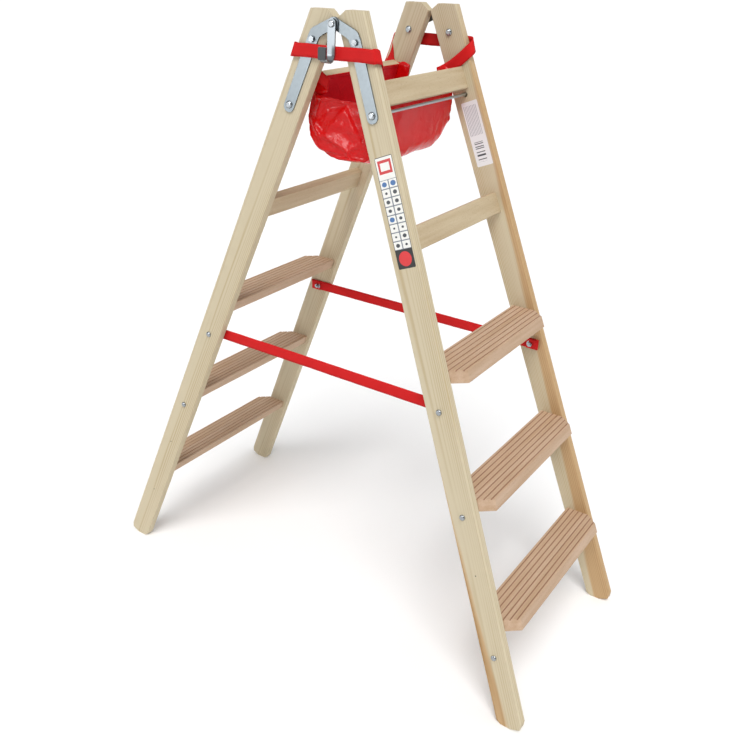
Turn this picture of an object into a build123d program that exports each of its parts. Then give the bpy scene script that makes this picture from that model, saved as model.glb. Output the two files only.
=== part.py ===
from build123d import *
from math import cos, hypot, radians, sin, sqrt, tan
import os

os.makedirs("parts", exist_ok=True)

# A two-sided wooden stepladder: two ladder frames hinged together at the top.
# Millimetres, +Z up, origin on the floor at the middle, hinge axis along X.
# The front frame leans towards -Y, the rear frame is the same frame turned half round Z.
# Inside a frame, s runs down the stile from the hinge axis and n stands out from the frame.
PIVOT_Z = 1367.3
TOP_Z = 1390.0
LEAN = radians(21.8)
SIN = sin(LEAN)
COS = cos(LEAN)
SPLAY = 0.0662

# stiles: planed softwood
STILE_OUTER_X = 181.0
STILE_THICK = 21.0
STILE_N = (4.5, 64.5)
STILE_MID_N = 34.5
STILE_ROUND = 3.0
HOUSING = 8.0
TOP_CUT_Y = -20.0
TOP_CUT_Z = 1375.0
FOOT_CUT_INNER = 8.0
FOOT_BEVEL = (22.0, 10.0)
FOOT_CUT_OUTER = (11.0, 26.0)

# rough stock that the true outlines are cut from
STOCK_DOWN = 1600.0
STOCK_UP = 60.0
STOCK_HALF = 300.0
STOCK_N = (-20.0, 120.0)

# rungs and treads
RUNG_N = (25.0, 45.0)
RUNG_HEIGHT = 46.0
RUNG_ROUND = 2.5
TOP_RUNG_S = 120.0
SECOND_RUNG_S = 395.0
TREAD_TOPS = {"upper": 760.6, "middle": 505.4, "lower": 250.1}
TREAD_THICK = 25.0
TREAD_INSET = 11.0
TREAD_OVERHANG = 28.6
TREAD_CORNER = 26.5
NOSE_ROUND = 2.0
GROOVES = 7
GROOVE_PITCH = 11.8
GROOVE_FIRST = 6.0
GROOVE_R = 1.3
TONGUE_N = (0.0, 58.0)

# rods, bolts, nuts and nails; a dome is (radius, height)
ROD_R = 3.0
ROD_PROUD = 1.5
ROD_MOUTH_R = 5.0
ROD_MOUTH_DEPTH = 7.0
TOP_ROD_S = 176.5
MIDDLE_ROD_S = 985.0
HINGE_BOLT_S = 46.0
HINGE_BOLT_PROUD = 5.5
STRAP_BOLT_S = 757.0
STRAP_BOLT_LENGTH = 35.0
LOWER_BOLT_S = 1311.0
TOP_DOME = (7.5, 4.2)
HINGE_DOME = (7.2, 4.0)
WOOD_DOME = (6.5, 4.0)
DOME_CROWN = 0.8
NUT_ACROSS = 10.0
HINGE_NUT_HEIGHT = 4.4
STRAP_NUT_HEIGHT = 5.0
WASHER_R = 9.0
WASHER_THICK = 1.5
WASHER_DEPTH = 27.4
STRAP_NUT_DEPTH = 32.4
NAIL_R = 1.6
NAIL_LENGTH = 16.0
MIDDLE_NAIL_S = 1118.0
LOWER_NAIL_S = 1304.0

# hinge leaves and bucket hook
PLATE = 3.0
LEAF_X = 184.2
LEAF_GAP = 0.3
LEAF_STRIP_N = (22.5, 46.5)
LEAF_STRIP_S = (33.0, 191.0)
LEAF_END_R = 11.0
EYE_R = 11.0
ARM_INNER = -9.2
ARM_OUTER = 10.4
ARM_END = [(26.0, 41.2), (32.0, 45.0), (47.0, 46.5), (47.0, 22.5), (36.0, 21.5), (29.5, 16.5)]
JOGGLE = (24.0, 31.0)
RUNNING = 0.06
RIVET_TAIL = (6.0, 1.6)
RIVET_DOME = (6.8, 3.0)
RIVET_CROWN = 2.2
HOOK_X = 192.2
HOOK_WIDTH = 17.0
HOOK_BEND_Z = 1315.0
HOOK_BEND_R = 11.5
HOOK_LIP_Z = 1329.0
PAD_HEIGHT = 22.0
PAD_ROUND = 2.5

# webbing and bag
WEB_WIDTH = 25.0
STRAP_X = 206.2
STRAP_THICK = 2.0
STRAP_END_Y = 331.0
STRAP_CORNER = 1.5
STRAP_EYE = 0.5
BAND_THICK = 1.6
BAND_X = (190.0, 161.4)
BAND_Z = (1302.5, 1327.5)
BAND_WRAP_Y = 98.0
BAND_RETURN_Y = 45.0
BAG_HALF_LENGTH = 150.0
BAG_WALL = 3.0
BAG_MOUTH_Z = 1256.0

# stickers
STICKER = 0.25
STICKER_CORNER = 2.0


def side_point(s, n):
    """The (y, z) of a point of the front frame."""
    return (-(s * SIN + n * COS), PIVOT_Z - s * COS + n * SIN)


def face_y(z, n):
    """The y of the front frame's surface n at the height z."""
    return -((PIVOT_Z - z) * tan(LEAN) + n / COS)


def frame_plane(n=0.0):
    """Plane of the front frame: local x is X, local y is up the stile."""
    y, z = side_point(0, n)
    return Plane(origin=(0, y, z), x_dir=(1, 0, 0), z_dir=(0, -COS, SIN))


def stile_side(depth=0.0):
    """Outer face of the front left stile: local x is n, local y is up the stile."""
    normal = Vector(-1, SPLAY * SIN, SPLAY * COS)
    face = Plane(origin=(-STILE_OUTER_X, 0, PIVOT_Z), x_dir=(0, -COS, SIN), z_dir=normal)
    return face.offset(-depth)


def keep(piece, label):
    """Label a finished piece and write its file."""
    piece.label = label
    export_step(piece, f"parts/{label}.step")


def turned(piece):
    """The same piece on the rear frame."""
    with BuildPart() as rear:
        add(piece, rotation=(0, 0, 180))
    return rear.part


def mirrored(piece, about=Plane.YZ):
    """The same piece on the other side."""
    with BuildPart() as other:
        mirror(piece, about=about)
    return other.part


def group(*pieces):
    """Separate solids that share one node."""
    return Compound(children=[solid for piece in pieces for solid in piece.solids()])


def strip_between(half_width, n_from, n_to):
    """Wedge between the two splayed stiles; half_width is its half width at the hinge."""
    top_half = half_width - SPLAY * STOCK_UP
    bottom_half = half_width + SPLAY * STOCK_DOWN
    with BuildPart() as wedge:
        with BuildSketch(frame_plane(n_from)):
            with BuildLine():
                Polyline(
                    (-top_half, STOCK_UP),
                    (top_half, STOCK_UP),
                    (bottom_half, -STOCK_DOWN),
                    (-bottom_half, -STOCK_DOWN),
                    close=True,
                )
            make_face()
        extrude(amount=n_to - n_from)
    return wedge.part


inner_width = STILE_OUTER_X - STILE_THICK
gap_wedge = strip_between(inner_width, *STOCK_N)
tenon_wedge = strip_between(inner_width + HOUSING, *STOCK_N)
tongue_wedge = strip_between(inner_width + HOUSING, *TONGUE_N)


# --- rungs and treads -------------------------------------------------------
def make_rung(s_top):
    """Plain rung, square to the frame, with its ends let into the stiles."""
    corners = [side_point(s, n) for s, n in (
        (s_top, RUNG_N[0]),
        (s_top, RUNG_N[1]),
        (s_top + RUNG_HEIGHT, RUNG_N[1]),
        (s_top + RUNG_HEIGHT, RUNG_N[0]),
    )]
    with BuildPart() as rung:
        with BuildSketch(Plane.YZ):
            with BuildLine():
                Polyline(*corners, close=True)
            make_face()
        extrude(amount=STOCK_HALF, both=True)
        fillet(rung.edges().filter_by(Axis.X), RUNG_ROUND)
        add(tenon_wedge, mode=Mode.INTERSECT)
    return rung.part


def make_tread(z_top):
    """Grooved tread: level top, faces parallel to the stiles, front corners cut off."""
    y_inner = face_y(z_top, STILE_N[0]) - TREAD_INSET
    y_front = face_y(z_top, STILE_N[1]) - TREAD_OVERHANG
    slope = TREAD_THICK * tan(LEAN)
    z_bottom = z_top - TREAD_THICK
    with BuildPart() as tread:
        with BuildSketch(Plane.YZ):
            with BuildLine():
                Polyline(
                    (y_inner, z_top),
                    (y_front, z_top),
                    (y_front - slope, z_bottom),
                    (y_inner - slope, z_bottom),
                    close=True,
                )
            make_face()
        extrude(amount=STOCK_HALF, both=True)
        add(gap_wedge, mode=Mode.INTERSECT)
        front_face = tread.faces().sort_by(Axis.Y)[0]
        corner_edges = front_face.edges().filter_by(lambda edge: edge.length < 2 * TREAD_THICK)
        chamfer(corner_edges, TREAD_CORNER)
        front_face = tread.faces().sort_by(Axis.Y)[0]
        fillet(front_face.edges().filter_by(Axis.X), NOSE_ROUND)
        with BuildSketch(Plane.YZ):
            with Locations(*[
                (y_inner - GROOVE_FIRST - i * GROOVE_PITCH, z_top) for i in range(GROOVES)
            ]):
                Circle(GROOVE_R)
        extrude(amount=STOCK_HALF, both=True, mode=Mode.SUBTRACT)
    with BuildPart() as tongue:
        with BuildSketch(Plane.YZ):
            with BuildLine():
                Polyline(
                    (y_inner, z_top - GROOVE_R),
                    (y_front, z_top - GROOVE_R),
                    (y_front - slope, z_bottom),
                    (y_inner - slope, z_bottom),
                    close=True,
                )
            make_face()
        extrude(amount=STOCK_HALF, both=True)
        add(tongue_wedge, mode=Mode.INTERSECT)
    with BuildPart() as whole:
        add(tread.part)
        add(tongue.part)
    return whole.part


crosspieces = {
    "top_rung": make_rung(TOP_RUNG_S),
    "second_rung": make_rung(SECOND_RUNG_S),
}
for name, z_top in TREAD_TOPS.items():
    crosspieces[f"{name}_tread"] = make_tread(z_top)


# --- bolts, rods and nuts ---------------------------------------------------
def on_stile(s, n, depth=0.0):
    """Plane on the front left stile's outer face, depth mm into the wood, facing out."""
    face = stile_side(depth)
    place = face.from_local_coords((n, -s * hypot(1, SPLAY), 0))
    return Plane(origin=place, x_dir=face.x_dir, z_dir=face.z_dir)


def dome_nut(seat, size):
    """Round-headed nut or bolt head on a seat plane."""
    radius, height = size
    with BuildPart() as dome:
        with BuildSketch(seat):
            Circle(radius)
        extrude(amount=height)
        crown = dome.faces().sort_by(Axis(seat.origin, seat.z_dir))[-1]
        fillet(crown.edges(), height * DOME_CROWN)
    return dome.part


def hex_nut(seat, height):
    """Hexagon nut on a seat plane."""
    with BuildPart() as nut:
        with BuildSketch(seat):
            RegularPolygon(radius=NUT_ACROSS / 2, side_count=6, major_radius=False)
        extrude(amount=height)
    return nut.part


def shank(seat, length, radius=ROD_R):
    """Plain shank that runs inwards from a seat plane."""
    with BuildPart() as pin:
        with BuildSketch(seat):
            Circle(radius)
        extrude(amount=-length)
    return pin.part


def tie_rod(s):
    """Steel rod along X through both stiles of the front frame."""
    y, z = side_point(s, STILE_MID_N)
    half = STILE_OUTER_X + SPLAY * s + ROD_PROUD
    with BuildPart() as rod:
        with BuildSketch(Plane.YZ):
            with Locations((y, z)):
                Circle(ROD_R)
        extrude(amount=half, both=True)
    return rod.part


def less(piece, *cutters):
    """A piece with others cut away from it."""
    with BuildPart() as rest:
        add(piece)
        for cutter in cutters:
            add(cutter, mode=Mode.SUBTRACT)
    return rest.part


top_rod = tie_rod(TOP_ROD_S)
middle_rod = tie_rod(MIDDLE_ROD_S)

# outer dome nuts: the top pair clamps the hinge leaves, the others sit on the wood
leaf_seat = on_stile(TOP_ROD_S, STILE_MID_N, -PLATE)
top_nut = less(dome_nut(leaf_seat, TOP_DOME), top_rod)
middle_nut = less(dome_nut(on_stile(MIDDLE_ROD_S, STILE_MID_N), WOOD_DOME), middle_rod)

# the top rod's hole opens out where it enters the stile
rod_mouth_plane = on_stile(TOP_ROD_S, STILE_MID_N, STILE_THICK - ROD_MOUTH_DEPTH)
rod_mouth = shank(rod_mouth_plane, 2 * ROD_MOUTH_DEPTH, ROD_MOUTH_R)

# hinge bolt: dome head on the inside of the stile, small nut over the leaf outside
hinge_bolt_end = on_stile(HINGE_BOLT_S, STILE_MID_N, -PLATE - HINGE_BOLT_PROUD)
hinge_head_seat = on_stile(HINGE_BOLT_S, STILE_MID_N, STILE_THICK)
hinge_head_seat = Plane(origin=hinge_head_seat.origin, x_dir=hinge_head_seat.x_dir,
                        z_dir=-hinge_head_seat.z_dir)
with BuildPart() as hinge_bolt:
    add(shank(hinge_bolt_end, HINGE_BOLT_PROUD + PLATE + STILE_THICK + 1.0))
    add(dome_nut(hinge_head_seat, HINGE_DOME))
hinge_nut_seat = on_stile(HINGE_BOLT_S, STILE_MID_N, -PLATE - 2 * LEAF_GAP)
hinge_nut = less(hex_nut(hinge_nut_seat, HINGE_NUT_HEIGHT), hinge_bolt.part)

# strap bolt: dome head outside, washer and nut over the webbing inside
with BuildPart() as strap_bolt:
    add(shank(on_stile(STRAP_BOLT_S, STILE_MID_N), STRAP_BOLT_LENGTH))
    add(dome_nut(on_stile(STRAP_BOLT_S, STILE_MID_N), WOOD_DOME))
washer_seat = on_stile(STRAP_BOLT_S, STILE_MID_N, WASHER_DEPTH)
with BuildPart() as strap_washer:
    with BuildSketch(washer_seat):
        Circle(WASHER_R)
        Circle(ROD_R, mode=Mode.SUBTRACT)
    extrude(amount=WASHER_THICK)
strap_nut_seat = on_stile(STRAP_BOLT_S, STILE_MID_N, STRAP_NUT_DEPTH)
strap_nut = less(hex_nut(strap_nut_seat, STRAP_NUT_HEIGHT), strap_bolt.part)

# one more dome-headed bolt low on the front left stile
with BuildPart() as lower_bolt:
    add(shank(on_stile(LOWER_BOLT_S, STILE_MID_N), NAIL_LENGTH))
    add(dome_nut(on_stile(LOWER_BOLT_S, STILE_MID_N), WOOD_DOME))


# small nails that lock the tread tongues, driven from outside
def nail(s):
    """Nail in the front left stile, its head flush with the wood."""
    return shank(on_stile(s, STILE_MID_N), NAIL_LENGTH, NAIL_R)


middle_nail = nail(MIDDLE_NAIL_S)
lower_nail = nail(LOWER_NAIL_S)
rear_nails = group(middle_nail, lower_nail)


# --- stiles -----------------------------------------------------------------
def stile_outline():
    """Side view of the front stile as (y, z) corners, its top and foot cut level."""
    inner, outer = STILE_N
    cut_along, cut_up = FOOT_CUT_OUTER
    bevel_along, bevel_up = FOOT_BEVEL
    return [
        (face_y(TOP_Z, outer), TOP_Z),
        (TOP_CUT_Y, TOP_Z),
        (face_y(TOP_CUT_Z, inner), TOP_CUT_Z),
        (face_y(FOOT_CUT_INNER, inner), FOOT_CUT_INNER),
        (face_y(0, inner) - FOOT_CUT_INNER, 0),
        (face_y(0, outer) + cut_along + bevel_along, 0),
        (face_y(0, outer) + cut_along, bevel_up),
        (face_y(cut_up, outer), cut_up),
    ]


with BuildPart() as stile_blank:
    with BuildSketch(Plane.YZ):
        with BuildLine():
            Polyline(*stile_outline(), close=True)
        make_face()
    extrude(amount=-STOCK_HALF)
    with BuildSketch(frame_plane(STOCK_N[0])):
        with BuildLine():
            x_top = SPLAY * STOCK_UP - STILE_OUTER_X
            x_foot = -SPLAY * STOCK_DOWN - STILE_OUTER_X
            Polyline(
                (x_top, STOCK_UP),
                (x_foot, -STOCK_DOWN),
                (x_foot + STILE_THICK, -STOCK_DOWN),
                (x_top + STILE_THICK, STOCK_UP),
                close=True,
            )
        make_face()
    extrude(amount=STOCK_N[1] - STOCK_N[0], mode=Mode.INTERSECT)
    long_edges = stile_blank.edges().filter_by(lambda edge: edge.length > PIVOT_Z / 2)
    fillet(long_edges, STILE_ROUND)

left_stile = less(
    stile_blank.part,
    *crosspieces.values(),
    top_rod,
    rod_mouth,
    middle_rod,
    hinge_bolt.part,
    strap_bolt.part,
    middle_nail,
)
front_left_stile = less(left_stile, lower_bolt.part)
right_stile = mirrored(left_stile)
keep(front_left_stile, "front_left_stile")
keep(right_stile, "front_right_stile")
rear_stile = less(left_stile, lower_nail)
keep(turned(rear_stile), "rear_right_stile")
keep(turned(mirrored(rear_stile)), "rear_left_stile")

for name, piece in crosspieces.items():
    keep(piece, f"front_{name}")
    keep(turned(piece), f"rear_{name}")


# --- hinge leaves -----------------------------------------------------------
def diagonal(along, across):
    """(s, n) of a point on the leaf's arm, which leaves the eye at 45 degrees."""
    return ((along - across) / sqrt(2), (along + across) / sqrt(2))


def plate(outline, x_outer, thick):
    """Flat plate across X with its outline given as (s, n) corners."""
    with BuildPart() as sheet:
        with BuildSketch(Plane.YZ.offset(-x_outer)):
            with BuildLine():
                Polyline(*[side_point(s, n) for s, n in outline], close=True)
            make_face()
        extrude(amount=thick)
    return sheet.part


def disc(radius, x_outer, thick):
    """Disc across X on the hinge axis."""
    with BuildPart() as sheet:
        with BuildSketch(Plane.YZ.offset(-x_outer)):
            with Locations((0, PIVOT_Z)):
                Circle(radius)
        extrude(amount=thick)
    return sheet.part


leaf_outer_x = LEAF_X + PLATE
lap = PLATE + LEAF_GAP

with BuildPart() as leaf_strip:
    strip_mid = sum(LEAF_STRIP_N) / 2
    strip_width = LEAF_STRIP_N[1] - LEAF_STRIP_N[0]
    strip_length = LEAF_STRIP_S[1] - LEAF_STRIP_S[0]
    with BuildSketch(on_stile(sum(LEAF_STRIP_S) / 2, strip_mid)):
        RectangleRounded(strip_width, strip_length, LEAF_END_R)
    extrude(amount=PLATE)

front_head = plate(
    [diagonal(0, ARM_INNER), diagonal(0, ARM_OUTER), *ARM_END], leaf_outer_x, PLATE
)
rear_near = plate(
    [
        diagonal(0, ARM_INNER),
        diagonal(0, ARM_OUTER),
        diagonal(JOGGLE[1], ARM_OUTER),
        diagonal(JOGGLE[1], ARM_INNER),
    ],
    leaf_outer_x + lap,
    PLATE,
)
rear_step = plate(
    [
        diagonal(JOGGLE[0], ARM_INNER),
        diagonal(JOGGLE[0], ARM_OUTER),
        diagonal(JOGGLE[1], ARM_OUTER),
        diagonal(JOGGLE[1], ARM_INNER),
    ],
    leaf_outer_x + lap,
    lap + PLATE,
)
rear_far = plate(
    [diagonal(JOGGLE[0], ARM_INNER), diagonal(JOGGLE[0], ARM_OUTER), *ARM_END],
    leaf_outer_x,
    PLATE,
)
past_hook_x = HOOK_X + 2 * PLATE
pin_hole = disc(ROD_R + RUNNING, past_hook_x, STOCK_UP)
pin_seat = disc(ROD_R, past_hook_x, STOCK_UP)
with BuildPart() as left_front_leaf:
    add(front_head)
    add(disc(EYE_R, leaf_outer_x, PLATE))
    add(leaf_strip.part)
    add(pin_seat, mode=Mode.SUBTRACT)
    add(top_rod, mode=Mode.SUBTRACT)
    add(hinge_bolt.part, mode=Mode.SUBTRACT)
with BuildPart() as left_rear_leaf_in_front:
    add(rear_near)
    add(disc(EYE_R, leaf_outer_x + lap, PLATE))
    add(rear_step)
    add(rear_far)
    add(leaf_strip.part)
    add(pin_hole, mode=Mode.SUBTRACT)
    add(top_rod, mode=Mode.SUBTRACT)
    add(hinge_bolt.part, mode=Mode.SUBTRACT)
left_rear_leaf = mirrored(left_rear_leaf_in_front.part, Plane.XZ)
keep(left_front_leaf.part, "left_front_hinge_leaf")
keep(left_rear_leaf, "left_rear_hinge_leaf")
keep(mirrored(left_front_leaf.part), "right_front_hinge_leaf")
keep(mirrored(left_rear_leaf), "right_rear_hinge_leaf")


def pivot_rivet(outer_x):
    """Hinge rivet on the left side, its outer head starting at outer_x."""
    dome_r, dome_height = RIVET_DOME
    with BuildPart() as rivet:
        add(disc(RIVET_TAIL[0], LEAF_X, RIVET_TAIL[1]))
        add(disc(ROD_R, outer_x, outer_x - LEAF_X))
        add(disc(dome_r, outer_x + dome_height, dome_height))
        crown = rivet.faces().sort_by(Axis.X)[0]
        fillet(crown.edges(), RIVET_CROWN)
    return rivet.part


left_rivet = pivot_rivet(HOOK_X + PLATE + LEAF_GAP)
right_rivet = mirrored(pivot_rivet(leaf_outer_x + lap + LEAF_GAP))
keep(left_rivet, "left_pivot_rivet")
keep(right_rivet, "right_pivot_rivet")

# --- bucket hook ------------------------------------------------------------
hook_outer = HOOK_X + PLATE
bend_x = hook_outer + HOOK_BEND_R
lip_x = bend_x + HOOK_BEND_R
with BuildPart() as bucket_hook:
    with BuildSketch(Plane.XZ.offset(-HOOK_WIDTH / 2)):
        with Locations((-bend_x, HOOK_BEND_Z)):
            Circle(HOOK_BEND_R + PLATE)
            Circle(HOOK_BEND_R, mode=Mode.SUBTRACT)
        with Locations((-bend_x, HOOK_BEND_Z)):
            Rectangle(
                4 * HOOK_BEND_R, 2 * HOOK_BEND_R,
                align=(Align.CENTER, Align.MIN), mode=Mode.SUBTRACT,
            )
        with Locations((-hook_outer, HOOK_BEND_Z)):
            Rectangle(PLATE, PIVOT_Z - HOOK_BEND_Z, align=(Align.MIN, Align.MIN))
        with Locations((-lip_x, HOOK_BEND_Z)):
            Rectangle(PLATE, HOOK_LIP_Z - HOOK_BEND_Z, align=(Align.MAX, Align.MIN))
    extrude(amount=HOOK_WIDTH)
    add(disc(HOOK_WIDTH / 2, hook_outer, PLATE))
    add(pin_hole, mode=Mode.SUBTRACT)
with BuildPart() as hook_pad:
    with BuildSketch(Plane.YZ.offset(-lip_x - PLATE)):
        with Locations((0, HOOK_LIP_Z - PAD_HEIGHT / 2)):
            RectangleRounded(HOOK_WIDTH, PAD_HEIGHT, PAD_ROUND)
    extrude(amount=-PLATE)
keep(bucket_hook.part, "bucket_hook")
keep(hook_pad.part, "bucket_hook_pad")

# --- fastener groups --------------------------------------------------------
frame_fasteners = {
    "top_tie_rod": group(top_rod),
    "middle_tie_rod": group(middle_rod),
    "tie_rod_nuts": group(top_nut, mirrored(top_nut), middle_nut, mirrored(middle_nut)),
    "hinge_bolts": group(hinge_bolt.part, mirrored(hinge_bolt.part)),
    "hinge_nuts": group(hinge_nut, mirrored(hinge_nut)),
    "strap_bolts": group(strap_bolt.part, mirrored(strap_bolt.part)),
    "strap_washers": group(strap_washer.part, mirrored(strap_washer.part)),
    "strap_nuts": group(strap_nut, mirrored(strap_nut)),
}
for name, piece in frame_fasteners.items():
    keep(piece, f"front_{name}")
    keep(turned(piece), f"rear_{name}")
keep(group(middle_nail, mirrored(middle_nail)), "front_tread_nails")
keep(turned(group(rear_nails, mirrored(rear_nails))), "rear_tread_nails")
keep(lower_bolt.part, "lower_stile_bolt")

# --- webbing ----------------------------------------------------------------
strap_z = side_point(STRAP_BOLT_S, STILE_MID_N)[1]
strap_eye = shank(on_stile(STRAP_BOLT_S, STILE_MID_N), STRAP_BOLT_LENGTH, ROD_R + STRAP_EYE)
strap_eye_rear = mirrored(strap_eye, Plane.XZ)
with BuildPart() as left_strap:
    with BuildSketch(Plane.YZ.offset(-STRAP_X)):
        with Locations((0, strap_z)):
            RectangleRounded(2 * STRAP_END_Y, WEB_WIDTH, STRAP_CORNER)
    extrude(amount=-STRAP_THICK)
    add(strap_eye, mode=Mode.SUBTRACT)
    add(strap_eye_rear, mode=Mode.SUBTRACT)
keep(left_strap.part, "left_spreader_strap")
keep(mirrored(left_strap.part), "right_spreader_strap")

# each bag band runs outside both stiles, over the leaves, and wraps back to the inside
with BuildPart() as left_band:
    with BuildSketch(Plane.XY.offset(BAND_Z[0])):
        with Locations((-(BAND_X[0] + BAND_THICK), -BAND_WRAP_Y)):
            Rectangle(BAND_THICK, 2 * BAND_WRAP_Y, align=(Align.MIN, Align.MIN))
        with Locations((-BAND_X[0], -BAND_WRAP_Y), (-BAND_X[0], BAND_WRAP_Y - BAND_THICK)):
            Rectangle(BAND_X[0] - BAND_X[1], BAND_THICK, align=(Align.MIN, Align.MIN))
        with Locations((-BAND_X[1], -BAND_WRAP_Y), (-BAND_X[1], BAND_RETURN_Y)):
            Rectangle(BAND_THICK, BAND_WRAP_Y - BAND_RETURN_Y, align=(Align.MAX, Align.MIN))
    extrude(amount=BAND_Z[1] - BAND_Z[0])
keep(left_band.part, "left_bag_band")
keep(mirrored(left_band.part), "right_bag_band")

# --- tool bag ---------------------------------------------------------------
BAG_OUTLINE = [
    (-62.0, 1262.0),
    (-74.0, 1232.0),
    (-84.0, 1200.0),
    (-84.0, 1165.0),
    (-66.0, 1128.0),
    (-32.0, 1110.0),
    (13.0, 1110.0),
    (55.0, 1122.0),
    (84.0, 1165.0),
    (84.0, 1200.0),
    (74.0, 1232.0),
    (62.0, 1262.0),
]


def bag_block(inset):
    """Solid of the bag's outline, all its walls moved in by inset."""
    with BuildPart() as block:
        with BuildSketch(Plane.YZ):
            with BuildLine():
                Polyline(*BAG_OUTLINE, close=True)
            make_face()
            if inset:
                offset(amount=-inset, kind=Kind.INTERSECTION, mode=Mode.REPLACE)
        extrude(amount=BAG_HALF_LENGTH - inset, both=True)
    return block.part


with BuildPart() as tool_bag:
    add(bag_block(0))
    add(bag_block(BAG_WALL), mode=Mode.SUBTRACT)
    split(bisect_by=Plane.XY.offset(BAG_MOUTH_Z), keep=Keep.BOTTOM)
keep(tool_bag.part, "tool_bag")


# --- stickers ---------------------------------------------------------------
def sticker(s_range, n_range, depth, thick):
    """Thin sticker on the front left stile, depth mm in from its outer face."""
    middle = on_stile(sum(s_range) / 2, sum(n_range) / 2, depth)
    with BuildPart() as paper:
        with BuildSketch(middle):
            RectangleRounded(n_range[1] - n_range[0], s_range[1] - s_range[0], STICKER_CORNER)
        extrude(amount=thick)
    return paper.part


use_label = sticker((251.0, 464.0), (16.5, 56.5), 0.0, STICKER)
data_label = mirrored(sticker((193.0, 333.0), (18.0, 57.0), STILE_THICK, -STICKER))
keep(use_label, "use_label")
keep(data_label, "data_label")
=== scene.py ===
import math

import bmesh
import bpy
from mathutils import Matrix, Vector, noise


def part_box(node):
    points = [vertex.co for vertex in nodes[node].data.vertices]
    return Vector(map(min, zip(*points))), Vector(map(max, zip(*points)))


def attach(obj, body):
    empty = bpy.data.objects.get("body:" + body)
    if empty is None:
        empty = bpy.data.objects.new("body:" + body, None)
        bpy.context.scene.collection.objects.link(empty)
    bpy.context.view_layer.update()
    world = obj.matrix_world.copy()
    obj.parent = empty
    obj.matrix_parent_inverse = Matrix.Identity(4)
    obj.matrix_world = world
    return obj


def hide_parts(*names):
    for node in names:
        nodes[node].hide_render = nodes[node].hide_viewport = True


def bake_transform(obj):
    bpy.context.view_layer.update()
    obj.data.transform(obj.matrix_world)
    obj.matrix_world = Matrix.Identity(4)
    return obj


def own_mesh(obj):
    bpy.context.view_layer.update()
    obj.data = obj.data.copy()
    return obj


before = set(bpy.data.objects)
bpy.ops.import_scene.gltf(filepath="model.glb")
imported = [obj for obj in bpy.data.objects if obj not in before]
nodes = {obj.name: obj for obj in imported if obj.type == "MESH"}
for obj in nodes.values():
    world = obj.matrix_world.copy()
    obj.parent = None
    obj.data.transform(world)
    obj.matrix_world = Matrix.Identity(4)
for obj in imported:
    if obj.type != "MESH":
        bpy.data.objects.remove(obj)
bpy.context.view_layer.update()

# --- Studio -----------------------------------------------------------------
# A three-quarter view from above the near, left side. The lens is shifted a little because
# the ladder stands off the middle of the lens axis. Everything is in metres.
MM = 0.001
CAMERA_PLACE = Vector((-1.5811, -0.9958, 1.4901))
CAMERA_YAW = 0.9414
CAMERA_PITCH = 0.5067
CAMERA_ROLL = 0.0195
LENS_MM = 41.47
LENS_SHIFT = (0.0683, 0.0668)


def new_object(name, data):
    """A new object in the scene, which holds the given data."""
    made = bpy.data.objects.new(name, data)
    bpy.context.collection.objects.link(made)
    return made


camera = new_object("camera", bpy.data.cameras.new("camera"))
forward = Vector((
    math.sin(CAMERA_YAW) * math.cos(CAMERA_PITCH),
    math.cos(CAMERA_YAW) * math.cos(CAMERA_PITCH),
    -math.sin(CAMERA_PITCH),
))
level_right = Vector((math.cos(CAMERA_YAW), -math.sin(CAMERA_YAW), 0))
level_up = level_right.cross(forward)
right = level_right * math.cos(CAMERA_ROLL) + level_up * math.sin(CAMERA_ROLL)
up = level_up * math.cos(CAMERA_ROLL) - level_right * math.sin(CAMERA_ROLL)
camera_turn = Matrix((right, up, -forward)).transposed().to_4x4()
camera.matrix_world = Matrix.Translation(CAMERA_PLACE) @ camera_turn
camera.data.lens = LENS_MM
camera.data.shift_x, camera.data.shift_y = LENS_SHIFT
camera.data.clip_start = 0.05
camera.data.clip_end = 50
bpy.context.scene.camera = camera
bpy.context.scene.view_settings.view_transform = "Standard"


def colour(code):
    """A linear RGBA colour from an sRGB hex code."""
    channels = [int(code[i:i + 2], 16) / 255 for i in (0, 2, 4)]
    return tuple(c / 12.92 if c <= 0.04045 else ((c + 0.055) / 1.055) ** 2.4 for c in channels) + (1,)


def add_node(tree, kind, links=None, **settings):
    """Adds a node. links maps an input to a value or to another node's output."""
    made = tree.nodes.new(kind)
    for name, value in settings.items():
        setattr(made, name, value)
    for place, value in (links or {}).items():
        socket = made.inputs[place]
        if isinstance(value, bpy.types.NodeSocket):
            tree.links.new(value, socket)
        else:
            socket.default_value = value
    return made


def blended(tree, factor, first, second):
    """The first colour where factor is 0 and the second where it is 1; a text is a hex code."""
    first, second = [colour(c) if isinstance(c, str) else c for c in (first, second)]
    links = {0: factor, 6: first, 7: second}
    return add_node(tree, "ShaderNodeMix", links, data_type="RGBA").outputs[2]


def ranged(tree, value, *limits):
    """The value mapped from a low and a high limit to 0 and 1, or to a second pair of limits."""
    return add_node(tree, "ShaderNodeMapRange", dict(enumerate((value, *limits)))).outputs[0]


def arithmetic(tree, operation, *values):
    """The output of one Math node."""
    return add_node(tree, "ShaderNodeMath", dict(enumerate(values)), operation=operation).outputs[0]


def bumped(tree, shader, height, strength, distance):
    """Lets a pattern of heights raise the surface by up to distance, in metres."""
    bump = add_node(tree, "ShaderNodeBump", {
        "Height": height, "Strength": strength, "Distance": distance,
    })
    tree.links.new(bump.outputs["Normal"], shader.inputs["Normal"])


def new_material(name, **sockets):
    """An empty material with a Principled shader; sockets are its uniform values."""
    material = bpy.data.materials.new(name)
    material.use_nodes = True
    shader = material.node_tree.nodes["Principled BSDF"]
    for key, value in sockets.items():
        shader.inputs[key.replace("_", " ")].default_value = value
    return material, material.node_tree, shader


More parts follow.
